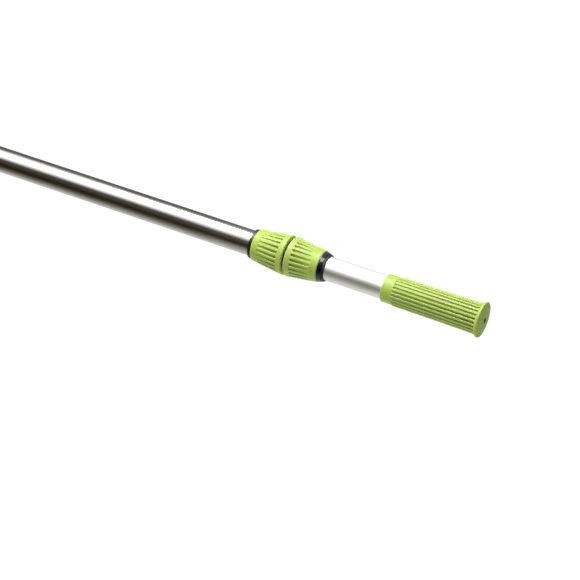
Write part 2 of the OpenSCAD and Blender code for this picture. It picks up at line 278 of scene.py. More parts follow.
# %% [markdown]
# ## Aluminium
# Both tubes are drawn: pulled through a die, which leaves fine straight lines along the tube and none
# across it. The outer tube was then polished and clear anodised, so it mirrors the studio with a slightly
# soft edge. The inner tube was etched before anodising, which scatters the light and turns it satin. Metal
# keeps the shader's default IOR. Its look comes from its colour, its roughness and the drawn lines, so the
# lines drive all three. Real lines are a few hundredths of a millimetre apart. They are drawn about 0.7 mm
# apart, because finer ones would be lost in the render.

# %% A shaded material, and drawn aluminium in two finishes
DRAWN_LINES = (6.0, 1400.0, 1400.0)  # in a metre, along and across the tube
SCUFF_PATCHES = (14.0, 420.0, 420.0)  # in a metre, as above
SCUFF_EDGE = 0.03
CLOUD_SCALE, CLOUD_SHARE = 35.0, 0.4  # clouds in a metre, and their weight beside the lines
LINE_BUMP = 0.08


def shaded(name, **values):
    """A material with one principled shader, and the values that are the same all over it."""
    material = bpy.data.materials.new(name)
    material.use_nodes = True
    tree = material.node_tree
    shader = tree.nodes["Principled BSDF"]
    for key, value in values.items():
        shader.inputs[key.replace("_", " ")].default_value = value
    return material, tree, shader


def drawn_aluminium(name, dark, pale, smooth, rough, line_depth, scuff):
    """Aluminium with lines along X. smooth and rough are the roughness between and on the lines."""
    material, tree, shader = shaded(name, Metallic=1.0)
    place = add(tree, "ShaderNodeTexCoord").outputs["Object"]
    along = add(tree, "ShaderNodeMapping", None, {"Vector": place, "Scale": DRAWN_LINES}).outputs[0]
    lines = add(tree, "ShaderNodeTexNoise", None, {"Vector": along, "Scale": 1.0, "Detail": 5.0}).outputs[0]
    cloudy = add(tree, "ShaderNodeTexNoise", None, {
        "Vector": place, "Scale": CLOUD_SCALE, "Detail": 3.0}).outputs[0]
    both = add(tree, "ShaderNodeMath", {"operation": "MULTIPLY_ADD"}, {
        0: cloudy, 1: CLOUD_SHARE, 2: lines}).outputs[0]
    tint = add(tree, "ShaderNodeValToRGB", {"stops": [(0.5, dark), (0.9, pale)]}, {"Fac": both})
    tree.links.new(tint.outputs["Color"], shader.inputs["Base Color"])
    patches = add(tree, "ShaderNodeMapping", None, {"Vector": place, "Scale": SCUFF_PATCHES}).outputs[0]
    marks = add(tree, "ShaderNodeTexVoronoi", {"feature": "DISTANCE_TO_EDGE"}, {
        "Vector": patches, "Scale": 1.0})
    rubbed = add(tree, "ShaderNodeMapRange", None, {
        "Value": marks.outputs["Distance"], "From Min": 0.0, "From Max": SCUFF_EDGE,
        "To Min": scuff, "To Max": 0.0}).outputs[0]
    base = add(tree, "ShaderNodeMapRange", None, {
        "Value": both, "From Min": 0.5, "From Max": 0.9, "To Min": smooth, "To Max": rough}).outputs[0]
    total = add(tree, "ShaderNodeMath", {"operation": "ADD"}, {0: base, 1: rubbed})
    tree.links.new(total.outputs[0], shader.inputs["Roughness"])
    bump = add(tree, "ShaderNodeBump", None, {"Strength": LINE_BUMP, "Distance": line_depth, "Height": lines})
    tree.links.new(bump.outputs[0], shader.inputs["Normal"])
    return material


polished_tube = drawn_aluminium(
    "aluminium_polished_anodised", "#DAD7D2", "#ECEAE7", smooth=0.11, rough=0.15,
    line_depth=0.008 * MM, scuff=0.05)
satin_tube = drawn_aluminium(
    "aluminium_satin_anodised", "#DADAD8", "#EAE9E7", smooth=0.46, rough=0.54,
    line_depth=0.015 * MM, scuff=0.05)
print("made", polished_tube.name, "and", satin_tube.name)


# %% [markdown]
# ## Soft lime rubber
# The sleeves and the grip are thermoplastic rubber, moulded over or pushed onto the pieces under them. The
# mould is spark-eroded, which leaves a fine even grain that breaks up the highlight. Real spark grain is
# about a tenth of a millimetre across. It is drawn about ten times as coarse, because finer grain would be
# lost in the render. The rubber is pigmented all through, and a little light travels under its skin.
#
# The colour is paler on the sharpest outward edges, and hollows get a deeper green, which is painted shade.
# The
# grooves get dirt and painted shade: the tree that cuts them stores how deep each point lies in an attribute
# named groove, and the material reads it. The small hole in the grip's end is nearly closed to light, so its
# wall gets the darkest green as painted shade.

# %% Lime rubber
LIME = {"deep": "#66810F", "body": "#AAC34D", "pale_edge": "#C6D882"}
# painted shade: the wall of the grip's end hole takes this darkest green, fading out between the two radii
# below
HOLE_GREEN = "#2E4008"
HOLE_EDGE_R, FACE_R = 3.0 * MM, 3.8 * MM  # the hole's green fades out between these
# how far the grooves are darkened towards the deep green: dirt and painted shade
GROOVE_DIRT_AND_SHADE = 0.5
MOTTLE_SCALE, MOTTLE_SHARE = 60.0, 0.05  # mottles in a metre, and their weight beside the edges


def lime_rubber(name, deep, body, pale_edge, grain_mm):
    """Rubber of one pigment, with painted shade in its hollows, grooves and end hole, dirt in its grooves,
    and paler sharp edges.
    """
    material, tree, shader = shaded(name, Subsurface_Weight=0.06, Subsurface_Scale=1.0 * MM, IOR=1.48)
    shader.inputs["Subsurface Radius"].default_value = (0.8, 1.0, 0.2)
    place = add(tree, "ShaderNodeTexCoord").outputs["Object"]
    edges = add(tree, "ShaderNodeNewGeometry").outputs["Pointiness"]
    cloudy = add(tree, "ShaderNodeTexNoise", None, {
        "Vector": place, "Scale": MOTTLE_SCALE, "Detail": 4.0}).outputs[0]
    hollow_shade_edges_and_mottle = add(tree, "ShaderNodeMath", {"operation": "MULTIPLY_ADD"}, {
        0: cloudy, 1: MOTTLE_SHARE, 2: edges}).outputs[0]
    # painted shade: hollows, where pointiness is low, take the deep green; the sharpest outward edges take a
    # paler green
    tint = add(tree, "ShaderNodeValToRGB", {
        "stops": [(0.46, deep), (0.50, body), (0.53, body), (0.58, pale_edge)]}, {"Fac": hollow_shade_edges_and_mottle}).outputs["Color"]
    groove = add(tree, "ShaderNodeAttribute", {"attribute_name": "groove"}).outputs["Fac"]
    # dirt and painted shade: each groove is darkened towards the deep green by how deep it lies
    dirt_and_shade = add(tree, "ShaderNodeMath", {"operation": "MULTIPLY"}, {0: groove, 1: GROOVE_DIRT_AND_SHADE}).outputs[0]
    kept = add(tree, "ShaderNodeMix", {"data_type": "RGBA"}, {0: dirt_and_shade, 6: tint, 7: linear(deep)}).outputs[2]
    axes = add(tree, "ShaderNodeSeparateXYZ", None, {0: place}).outputs
    flat = add(tree, "ShaderNodeCombineXYZ", None, {1: axes["Y"], 2: axes["Z"]}).outputs[0]
    off_axis = add(tree, "ShaderNodeVectorMath", {"operation": "LENGTH"}, {0: flat}).outputs["Value"]
    # painted shade in the grip's end hole, where little light gets in
    in_hole = add(tree, "ShaderNodeMapRange", None, {
        "Value": off_axis, "From Min": HOLE_EDGE_R, "From Max": FACE_R,
        "To Min": 1.0, "To Max": 0.0}).outputs[0]
    hole_shaded = add(tree, "ShaderNodeMix", {"data_type": "RGBA"}, {0: in_hole, 6: kept, 7: linear(HOLE_GREEN)})
    tree.links.new(hole_shaded.outputs[2], shader.inputs["Base Color"])
    grain = add(tree, "ShaderNodeTexNoise", None, {
        "Vector": place, "Scale": 1 / (grain_mm * MM), "Detail": 2.0}).outputs[0]
    gloss = add(tree, "ShaderNodeMapRange", None, {
        "Value": grain, "From Min": 0.3, "From Max": 0.7, "To Min": 0.36, "To Max": 0.5})
    tree.links.new(gloss.outputs[0], shader.inputs["Roughness"])
    bump = add(tree, "ShaderNodeBump", None, {"Strength": 0.35, "Distance": 0.06 * MM, "Height": grain})
    tree.links.new(bump.outputs[0], shader.inputs["Normal"])
    return material


sleeve_rubber = lime_rubber("lime_rubber_moulded_sleeve", **LIME, grain_mm=0.9)
grip_rubber = lime_rubber("lime_rubber_moulded_grip", **LIME, grain_mm=1.0)
print("made", sleeve_rubber.name, "and", grip_rubber.name)


# %% [markdown]
# ## Black plastic and black rubber
# The lock body and the nut are glass-filled nylon: stiff and black, with short pale fibres just under the
# skin that mottle the shine. The fibres are drawn 0.8 mm apart, several times as coarse as they are, so
# that they show at all. The nut comes from a polished mould and is glossy, the body is half glossy. The
# wiper ring is nitrile rubber, which is duller. All are dielectrics, so only the roughness and the IOR tell
# them apart in a small highlight.

# %% Black mouldings
def black_moulding(name, black, sheen, smooth, rough, grain_mm, ior):
    """A black moulding whose grain mottles its colour, its gloss and its skin."""
    material, tree, shader = shaded(name, IOR=ior)
    place = add(tree, "ShaderNodeTexCoord").outputs["Object"]
    grain = add(tree, "ShaderNodeTexNoise", None, {
        "Vector": place, "Scale": 1 / (grain_mm * MM), "Detail": 4.0}).outputs[0]
    tint = add(tree, "ShaderNodeValToRGB", {"stops": [(0.35, black), (0.75, sheen)]}, {"Fac": grain})
    tree.links.new(tint.outputs["Color"], shader.inputs["Base Color"])
    gloss = add(tree, "ShaderNodeMapRange", None, {
        "Value": grain, "From Min": 0.3, "From Max": 0.7, "To Min": smooth, "To Max": rough})
    tree.links.new(gloss.outputs[0], shader.inputs["Roughness"])
    bump = add(tree, "ShaderNodeBump", None, {"Strength": 0.2, "Distance": 0.05 * MM, "Height": grain})
    tree.links.new(bump.outputs[0], shader.inputs["Normal"])
    return material


black_nylon = black_moulding(
    "black_nylon_moulded", "#060607", "#0E0E10", smooth=0.34, rough=0.46, grain_mm=0.8, ior=1.53)
glossy_nylon = black_moulding(
    "black_nylon_glossy", "#070708", "#101012", smooth=0.12, rough=0.2, grain_mm=0.8, ior=1.53)
black_nitrile = black_moulding(
    "black_nitrile_rubber", "#060607", "#0E0E10", smooth=0.44, rough=0.56, grain_mm=0.5, ior=1.50)
print("made", black_nylon.name, glossy_nylon.name, "and", black_nitrile.name)


# %% [markdown]
# ## The small hidden pieces
# The collet, the slip washer and the guide ring are turned from natural acetal, a waxy off-white plastic
# that lets light in. The pin and the clip are spring steel and the rivets aluminium, all bright and marked
# by their tools. The marks are drawn 0.4 mm apart or more, coarser than real ones, so that they can show.
# These pieces keep their CAD meshes, because their shapes are right and they hardly show.

# %% Turned acetal and bright metal
TURNING_MARKS = (2500.0, 40.0, 40.0)  # in a metre, along and across the axis that the piece was turned on


def turned_acetal(name):
    """Off-white acetal with fine marks round the axis."""
    material, tree, shader = shaded(name, IOR=1.48, Subsurface_Weight=0.25, Subsurface_Scale=2.0 * MM)
    place = add(tree, "ShaderNodeTexCoord").outputs["Object"]
    across = add(tree, "ShaderNodeMapping", None, {"Vector": place, "Scale": TURNING_MARKS}).outputs[0]
    feed = add(tree, "ShaderNodeTexNoise", None, {"Vector": across, "Scale": 1.0, "Detail": 2.0}).outputs[0]
    tint = add(tree, "ShaderNodeValToRGB", {"stops": [(0.3, "#DDD6C0"), (0.7, "#EFEADB")]}, {"Fac": feed})
    tree.links.new(tint.outputs["Color"], shader.inputs["Base Color"])
    gloss = add(tree, "ShaderNodeMapRange", None, {"Value": feed, "To Min": 0.34, "To Max": 0.5})
    tree.links.new(gloss.outputs[0], shader.inputs["Roughness"])
    bump = add(tree, "ShaderNodeBump", None, {"Strength": 0.2, "Distance": 0.03 * MM, "Height": feed})
    tree.links.new(bump.outputs[0], shader.inputs["Normal"])
    return material


def bright_metal(name, dark, pale, line_scale):
    """Bare metal whose marks vary its colour and its gloss."""
    material, tree, shader = shaded(name, Metallic=1.0)
    place = add(tree, "ShaderNodeTexCoord").outputs["Object"]
    lines = add(tree, "ShaderNodeMapping", None, {"Vector": place, "Scale": line_scale}).outputs[0]
    marks = add(tree, "ShaderNodeTexNoise", None, {"Vector": lines, "Scale": 1.0, "Detail": 4.0}).outputs[0]
    tint = add(tree, "ShaderNodeValToRGB", {"stops": [(0.3, dark), (0.7, pale)]}, {"Fac": marks})
    tree.links.new(tint.outputs["Color"], shader.inputs["Base Color"])
    gloss = add(tree, "ShaderNodeMapRange", None, {"Value": marks, "To Min": 0.18, "To Max": 0.36})
    tree.links.new(gloss.outputs[0], shader.inputs["Roughness"])
    return material


natural_acetal = turned_acetal("natural_acetal_turned")
spring_steel = bright_metal("spring_steel_bright", "#9A9B9E", "#C4C5C8", (900.0, 900.0, 120.0))
rivet_metal = bright_metal("aluminium_rivet_bright", "#B9B8B6", "#DAD9D7", (700.0, 700.0, 700.0))
CAD_FINISHES = {
    "body_rivets": rivet_metal, "collet": natural_acetal, "slip_washer": natural_acetal,
    "guide_ring": natural_acetal, "end_plug": black_nylon, "plug_pin": spring_steel,
    "retaining_clip": spring_steel, "grip_plug": black_nylon,
}
for name, finish in CAD_FINISHES.items():
    nodes[name].data.materials.clear()
    nodes[name].data.materials.append(finish)
print("CAD nodes with a new finish:", len(CAD_FINISHES))


# %% [markdown]
# ## Turned outlines
# Every main piece is a solid of revolution, so its shape is one closed outline in the plane of X and the
# radius. Corners are given with a rounding length, and each is replaced by a short curve, as a mould or a
# file would leave it: a dead-sharp edge catches no light and looks drawn. The outline is then spun round X.
# The spun mesh has its doubles merged and its normals turned outwards, because spinning can leave a shape
# inside out.

# %% Round an outline and spin it
SHARP_FROM = math.radians(38)
MERGE_WITHIN = 1e-7


def rounded(corners, steps=5):
    """Points of a closed outline. A corner is (x, radius) or (x, radius, rounding length)."""
    points, count = [], len(corners)
    for i, corner in enumerate(corners):
        here = Vector(corner[:2])
        if len(corner) == 2:
            points.append(here)
            continue
        before, after = Vector(corners[i - 1][:2]), Vector(corners[(i + 1) % count][:2])
        start = here + (before - here).normalized() * corner[2]
        stop = here + (after - here).normalized() * corner[2]
        for k in range(steps + 1):
            t = k / steps
            points.append((1 - t) ** 2 * start + 2 * t * (1 - t) * here + t ** 2 * stop)
    return points


def spun(name, outline, segments, phase=0.0):
    """A closed mesh object from a closed outline of (x, radius) points, spun about the X axis."""
    mesh, rows = bmesh.new(), []
    for i in range(segments):
        angle = phase + 2 * math.pi * i / segments
        rows.append([mesh.verts.new((x, r * math.cos(angle), r * math.sin(angle))) for x, r in outline])
    for i in range(segments):
        row, ahead = rows[i], rows[(i + 1) % segments]
        for k in range(len(outline)):
            n = (k + 1) % len(outline)
            mesh.faces.new((row[k], row[n], ahead[n], ahead[k]))
    bmesh.ops.remove_doubles(mesh, verts=mesh.verts, dist=MERGE_WITHIN)
    bmesh.ops.recalc_face_normals(mesh, faces=mesh.faces)
    data = bpy.data.meshes.new(name)
    mesh.to_mesh(data)
    mesh.free()
    data.shade_smooth()
    data.set_sharp_from_angle(angle=SHARP_FROM)
    piece = bpy.data.objects.new(name, data)
    bpy.context.scene.collection.objects.link(piece)
    return piece


def settle(piece, body, node, finish=None):
    """Gives a finished piece its material and its body, and hides the CAD node that it stands for."""
    if finish:
        piece.data.materials.clear()
        piece.data.materials.append(finish)
    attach(piece, body)
    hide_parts(node)
    print(piece.name, "has", sum(len(p.vertices) - 2 for p in piece.data.polygons), "triangles")


def evaluated(piece):
    """Turns a piece's modifiers into its mesh and removes them."""
    graph = bpy.context.evaluated_depsgraph_get()
    baked = bpy.data.meshes.new_from_object(piece.evaluated_get(graph))
    piece.modifiers.clear()
    piece.data = baked
    return piece


# %% [markdown]
# ## The outer tube
# The outer tube is drawn tube cut to length, with its edges broken. Its far end takes a tool's handle, and
# two pairs of cross holes take the handle's spring clip. Holes in a bent wall are awkward to model by hand,
# so the tube is spun and then drilled with a Boolean. Extra rings of points on each side of a hole keep the
# long faces from being cut along the whole tube, which would spoil the reflections.

# %% Spin and drill the outer tube
CLIP_HOLE_R = 4 * MM
CLIP_HOLES = (32 * MM, 82 * MM)
BROKEN_EDGE = 0.25 * MM
SEAT_R = outer_r - 0.2 * MM
TUBE_SEGMENTS = 192


def drill(x, radius):
    """A cutter across the pole along Y."""
    bpy.ops.mesh.primitive_cylinder_add(
        vertices=48, radius=radius, depth=4 * outer_r, location=(x, 0, 0), rotation=(math.pi / 2, 0, 0))
    return bpy.context.object


def drawn_tube(name, start, stop, inside, outside, rings, seat=()):
    """A tube with extra rings of points along it, and perhaps a turned-down seat before its stop."""
    end_r = seat[-1][1] if seat else outside
    outline = rounded([
        (start, inside, BROKEN_EDGE), (start, outside, BROKEN_EDGE), *[(x, outside) for x in rings], *seat,
        (stop, end_r, BROKEN_EDGE), (stop, inside, BROKEN_EDGE), *[(x, inside) for x in reversed(rings)]],
        steps=3)
    return spun(name, outline, TUBE_SEGMENTS)


beside_holes = [x + side * 2 * CLIP_HOLE_R for x in CLIP_HOLES for side in (-1, 1)]
plain_rings = [0.2, 0.35, 0.5]
turned_seat = [(lip_x, outer_r), (lip_x, SEAT_R)]
outer_tube = drawn_tube(
    "outer_tube_polished", mouth_x, tube_end_x, bore_r, outer_r, beside_holes + plain_rings, turned_seat)
for x in CLIP_HOLES:
    cutter = drill(x, CLIP_HOLE_R)
    modifier = outer_tube.modifiers.new("clip_hole", "BOOLEAN")
    modifier.object, modifier.operation, modifier.solver = cutter, "DIFFERENCE", "EXACT"
    evaluated(outer_tube)
    bpy.data.objects.remove(cutter)
outer_tube.data.set_sharp_from_angle(angle=SHARP_FROM)
settle(outer_tube, "outer_section", "outer_tube", polished_tube)

# %% The inner tube
inner_tube = drawn_tube("inner_tube_satin", inner_start_x, inner_stop_x, inner_bore_r, inner_r, [0.5, 0.7])
settle(inner_tube, "inner_section", "inner_tube", satin_tube)


# %% [markdown]
# ## The lock's black pieces
# The lock body shows in two places: its lip behind the collar, and its neck in the dark gap between the two
# halves. The nut shows as a bevelled nose, and the wiper ring as a thin lip ahead of it, with a shadow
# groove between. All three are spun from outlines with rounded corners, because the shape of a black
# moulding is seen only by the light on its rounded edges.

# %% Lock body
LIP_R = outer_r + 2.5 * MM
SMALL_ROUND, EDGE_ROUND, LIP_ROUND = 0.2 * MM, 0.3 * MM, 1.0 * MM
THREAD_DEPTH, THREAD_CLEARANCE = 0.9 * MM, 0.1 * MM
CONE_LENGTH = 8 * MM
nut_bore_r = nut_r - 2.1 * MM
thread_r = nut_bore_r - THREAD_CLEARANCE
root_r = thread_r - THREAD_DEPTH
mouth_cone_r = thread_r - 1.2 * MM
cone_start_r = throat_r + 1.05 * MM
cone_start_x = spigot_x - CONE_LENGTH
neck_end_x = nut_x - 0.5 * MM

lock_body = spun("lock_body_moulded", rounded([
    (lip_x, SEAT_R), (lip_x, LIP_R, LIP_ROUND), (rear_x, LIP_R, EDGE_ROUND), (rear_x, rear_seat_r),
    (gap_x, neck_r, SMALL_ROUND), (neck_end_x, neck_r, EDGE_ROUND), (neck_end_x, root_r),
    (spigot_x, root_r, SMALL_ROUND), (spigot_x, mouth_cone_r), (cone_start_x, cone_start_r),
    (cone_start_x, throat_r), (tube_end_x, throat_r), (tube_end_x, SEAT_R)]), TUBE_SEGMENTS)
settle(lock_body, "outer_section", "lock_body", black_nylon)

# %% Nut with its bevelled nose
NOSE_R = outer_r + 3.2 * MM
NOSE_TIP_R = NOSE_R - 1.3 * MM
WIPER_SEAT_R = NOSE_TIP_R - 1.3 * MM
STEP_DOWN = 0.3 * MM  # from the nose's rim to the start of its bevel
chamber_r = nut_bore_r - 0.7 * MM
chamber_x = spigot_x + 0.2 * MM
shoulder_x = spigot_x + 13.6 * MM

lock_nut = spun("lock_nut_moulded", rounded([
    (nut_x, nut_bore_r), (nut_x, nut_r, SMALL_ROUND), ((nut_x + tip_x) / 2, nut_r), (tip_x, nut_tip_r),
    (tip_x, NOSE_R, SMALL_ROUND), (tip_x + 0.7 * MM, NOSE_R, EDGE_ROUND),
    (tip_x + 1.1 * MM, NOSE_R - STEP_DOWN, SMALL_ROUND), (nose_x, NOSE_TIP_R - 0.35 * MM, EDGE_ROUND),
    (nose_x, WIPER_SEAT_R, SMALL_ROUND), (wiper_back_x, WIPER_SEAT_R), (wiper_back_x, nose_bore_r),
    (shoulder_x, nose_bore_r), (shoulder_x, chamber_r), (chamber_x, chamber_r),
    (chamber_x, nut_bore_r)]), TUBE_SEGMENTS)
settle(lock_nut, "twist_nut", "lock_nut", glossy_nylon)

# %% Wiper ring
shadow_groove_x = nose_x + 0.6 * MM
wiper_tip_r = wiper_r - 0.9 * MM
wiper_ring = spun("wiper_ring_moulded", rounded([
    (wiper_back_x, throat_r), (wiper_back_x, WIPER_SEAT_R), (shadow_groove_x, WIPER_SEAT_R),
    (shadow_groove_x, wiper_r, 0.4 * MM), (wiper_x, wiper_tip_r, 1.1 * MM), (wiper_x, throat_r, EDGE_ROUND)]),
    TUBE_SEGMENTS)
settle(wiper_ring, "twist_nut", "wiper_ring", black_nitrile)


# %% [markdown]
# ## The thread on the lock body
# The thread shows only when the nut is turned out. It is one ridge that follows a helix, which is a job for
# Geometry Nodes: a spiral curve, a small profile swept along it, and the result moved onto the pole's axis.
# The profile's inner half is then flattened onto the root of the thread, because the wall under it is thin
# and the collet lies behind. The tree's inputs are the thread's own sizes, so another pitch is one number.
#
# Both trees of this lesson need some arithmetic. It is written as a list of steps, each with a name, a rule
# and its terms, and one loop makes the nodes. Both also need a point's distance from the pole's axis, and
# both move points straight away from the axis or towards it.

# %% Geometry Nodes helpers
RANGE_RULES = ("LINEAR", "SMOOTHSTEP")


def new_tree(name, sizes):
    """A geometry tree with a named input for each size and for the material, and those inputs by name."""
    tree = bpy.data.node_groups.new(name, "GeometryNodeTree")
    sockets = {"Geometry": "NodeSocketGeometry", **dict.fromkeys(sizes, "NodeSocketFloat"),
               "Material": "NodeSocketMaterial"}
    for label, kind in sockets.items():
        tree.interface.new_socket(label, in_out="INPUT", socket_type=kind)
    tree.interface.new_socket("Geometry", in_out="OUTPUT", socket_type="NodeSocketGeometry")
    return tree, {socket.name: socket for socket in add(tree, "NodeGroupInput").outputs}


def work_out(tree, known, steps):
    """Makes each step (name, rule, terms) and keeps its result as known. A term is a number, or the name of
    something known. A range rule carries its first term from one range to another, which the other four terms
    give. Any other rule is an operation of arithmetic."""
    for name, rule, *terms in steps:
        kind, setting = "ShaderNodeMath", "operation"
        if rule in RANGE_RULES:
            kind, setting = "ShaderNodeMapRange", "interpolation_type"
        inputs = {i: known[term] if isinstance(term, str) else term for i, term in enumerate(terms)}
        known[name] = add(tree, kind, {setting: rule}, inputs).outputs[0]


def locate(tree, known):
    """Makes x, y, z and the radius, which is the distance from the pole's axis, known."""
    place = add(tree, "GeometryNodeInputPosition").outputs[0]
    axes = add(tree, "ShaderNodeSeparateXYZ", None, {0: place}).outputs
    known.update(x=axes[0], y=axes[1], z=axes[2])
    work_out(tree, known, [
        ("y squared", "MULTIPLY", "y", "y"), ("z squared", "MULTIPLY", "z", "z"),
        ("radius squared", "ADD", "y squared", "z squared"), ("radius", "SQRT", "radius squared")])


def move_to_new_radius(tree, known, geometry):
    """Moves each point straight out or in, from its radius to its new radius."""
    work_out(tree, known, [
        ("scale", "DIVIDE", "new radius", "radius"),
        ("new y", "MULTIPLY", "y", "scale"), ("new z", "MULTIPLY", "z", "scale")])
    moved = add(tree, "ShaderNodeCombineXYZ", None, {0: known["x"], 1: known["new y"], 2: known["new z"]})
    return add(tree, "GeometryNodeSetPosition", None, {
        "Geometry": geometry, "Position": moved.outputs[0]}).outputs[0]


def finish_tree(tree, geometry, material):
    """Ends a tree in Realize Instances and Set Material."""
    real = add(tree, "GeometryNodeRealizeInstances", None, {0: geometry})
    coated = add(tree, "GeometryNodeSetMaterial", None, {"Geometry": real.outputs[0], "Material": material})
    add(tree, "NodeGroupOutput", None, {0: coated.outputs[0]})


def run_tree(piece, tree, values):
    """Puts a tree on a piece with its inputs set by identifier, and keeps the result as a plain mesh."""
    modifier = piece.modifiers.new(tree.name, "NODES")
    modifier.node_group = tree
    for item in tree.interface.items_tree:
        if item.in_out == "INPUT" and item.name in values:
            modifier[item.identifier] = values[item.name]
    return evaluated(piece)

# %% The thread's tree and the thread
THREAD_PITCH, THREAD_TURNS = 3 * MM, 5.0
THREAD_SUNK = 0.1 * MM
THREAD_SET_BACK = 1.2 * MM


def thread_tree():
    """A ridge that follows a helix on the pole's axis and doesn't reach below the root of the thread."""
    tree, known = new_tree("helical_thread", ["Root Radius", "Pitch", "Turns", "Ridge", "Sunk", "Start"])
    locate(tree, known)
    work_out(tree, known, [
        ("height", "MULTIPLY", "Pitch", "Turns"),
        ("lowest", "SUBTRACT", "Root Radius", "Sunk"),
        ("new radius", "MAXIMUM", "radius", "lowest")])
    spiral = add(tree, "GeometryNodeCurveSpiral", None, {
        "Resolution": 72, "Rotations": known["Turns"], "Start Radius": known["Root Radius"],
        "End Radius": known["Root Radius"], "Height": known["height"]}).outputs[0]
    profile = add(tree, "GeometryNodeCurvePrimitiveCircle", {"mode": "RADIUS"}, {
        "Resolution": 6, "Radius": known["Ridge"]}).outputs[0]
    ridge = add(tree, "GeometryNodeCurveToMesh", None, {
        "Curve": spiral, "Profile Curve": profile, "Fill Caps": True}).outputs[0]
    shift = add(tree, "ShaderNodeCombineXYZ", None, {"X": known["Start"]}).outputs[0]
    laid = add(tree, "GeometryNodeTransform", None, {
        "Geometry": ridge, "Translation": shift, "Rotation": (0, math.pi / 2, 0)}).outputs[0]
    finish_tree(tree, move_to_new_radius(tree, known, laid), known["Material"])
    return tree


lock_thread = bpy.data.objects.new("lock_thread_ridge", bpy.data.meshes.new("lock_thread_ridge"))
bpy.context.scene.collection.objects.link(lock_thread)
run_tree(lock_thread, thread_tree(), {
    "Root Radius": root_r, "Pitch": THREAD_PITCH, "Turns": THREAD_TURNS, "Ridge": THREAD_DEPTH,
    "Sunk": THREAD_SUNK, "Start": nut_x + THREAD_SET_BACK, "Material": black_nylon})
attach(lock_thread, "outer_section")
print("thread:", len(lock_thread.data.polygons), "faces, pitch", THREAD_PITCH / MM, "mm")


# %% [markdown]
# ## Ribs on the sleeves and the grip
# The collar's halves and the grip are gripped with wet hands, so they carry straight grooves, twenty-four
# round each. A groove's depth is given at its two ends and runs evenly between them, so it can be deep
# beside the gap and shallow where the barrel gets narrow. Only skin that faces away from the axis is
# lowered, which leaves the seats underneath alone. The walls of a groove lean a little and its ends run out
# in a curve, as the steel that forms it must slide out of the rubber. The rib tops are slightly crowned, so
# each catches its own highlight. The tree ends by storing how deep each point lies, for the rubber's
# material.

# %% The groove tree
GROOVE_SIZES = ["Count", "Width", "Start", "Stop", "Depth At Start", "Depth At Stop", "Runout", "Phase",
                "Softness", "Crown"]
GROOVE_COUNT = 24
STEPS_PER_GROOVE = 20
GROOVE_STEPS = [
    # where a point lies between two grooves: its share of the spacing is 0 mid-groove and 0.5 mid-rib
    ("angle from y", "ARCTAN2", "z", "y"),
    ("angle", "SUBTRACT", "angle from y", "Phase"),
    ("spacing", "DIVIDE", 2 * math.pi, "Count"),
    ("turns", "DIVIDE", "angle", "spacing"),
    ("turns and a half", "ADD", "turns", 0.5),
    ("part turn", "FRACT", "turns and a half"),
    ("signed share", "SUBTRACT", "part turn", 0.5),
    ("share", "ABSOLUTE", "signed share"),
    ("angle away", "MULTIPLY", "share", "spacing"),
    ("distance", "MULTIPLY", "angle away", "radius"),
    # the groove's shape across and along the pole
    ("half width", "MULTIPLY", "Width", 0.5),
    ("wall foot", "SUBTRACT", "half width", "Softness"),
    ("wall top", "ADD", "half width", "Softness"),
    ("across", "SMOOTHSTEP", "distance", "wall foot", "wall top", 1.0, 0.0),
    ("full from", "ADD", "Start", "Runout"),
    ("full until", "SUBTRACT", "Stop", "Runout"),
    ("begins", "SMOOTHSTEP", "x", "Start", "full from", 0.0, 1.0),
    ("ends", "SMOOTHSTEP", "x", "full until", "Stop", 1.0, 0.0),
    ("along", "MULTIPLY", "begins", "ends"),
    # only on skin that faces outwards
    ("outward y", "MULTIPLY", "normal y", "y"),
    ("outward z", "MULTIPLY", "normal z", "z"),
    ("outward", "ADD", "outward y", "outward z"),
    ("outer skin", "GREATER_THAN", "outward", 0.0),
    ("ribbed", "MULTIPLY", "along", "outer skin"),
    # how far it is cut
    ("depth", "LINEAR", "x", "Start", "Stop", "Depth At Start", "Depth At Stop"),
    ("cut shape", "MULTIPLY", "across", "ribbed"),
    ("cut", "MULTIPLY", "cut shape", "depth"),
    ("deepest", "MAXIMUM", "Depth At Start", "Depth At Stop"),
    ("groove", "DIVIDE", "cut", "deepest"),
    # the crown lowers a rib's sides and leaves its middle
    ("from mid-rib", "SUBTRACT", 0.5, "share"),
    ("side share", "MULTIPLY", "from mid-rib", 2.0),
    ("fall", "POWER", "side share", 2.0),
    ("crown shape", "MULTIPLY", "fall", "Crown"),
    ("crown", "MULTIPLY", "crown shape", "ribbed"),
    ("uncut", "SUBTRACT", 1.0, "across"),
    ("crown on rib", "MULTIPLY", "crown", "uncut"),
    ("cut radius", "SUBTRACT", "radius", "cut"),
    ("new radius", "SUBTRACT", "cut radius", "crown on rib"),
]


def groove_tree():
    """Straight grooves along X in the outer skin of a turned piece."""
    tree, known = new_tree("straight_grooves", GROOVE_SIZES)
    locate(tree, known)
    normal = add(tree, "GeometryNodeInputNormal").outputs[0]
    faces = add(tree, "ShaderNodeSeparateXYZ", None, {0: normal}).outputs
    known.update({"normal y": faces[1], "normal z": faces[2]})
    work_out(tree, known, GROOVE_STEPS)
    shaped = move_to_new_radius(tree, known, known["Geometry"])
    marked = add(tree, "GeometryNodeStoreNamedAttribute", {"data_type": "FLOAT", "domain": "POINT"}, {
        "Geometry": shaped, "Name": "groove", "Value": known["groove"]}).outputs[0]
    finish_tree(tree, marked, known["Material"])
    return tree


grooves = groove_tree()
print("groove tree has", len(grooves.nodes), "nodes")


# %% [markdown]
# ## The two halves of the collar
# Each half is a barrel: highest at the rim beside the gap, falling at first slowly and then faster to its
# narrow end, with a low bead at each end. The outline is that curve with rounded ends, closed underneath by
# the seat on the black piece. Points are half a millimetre apart along the barrel, so the grooves start
# crisply.

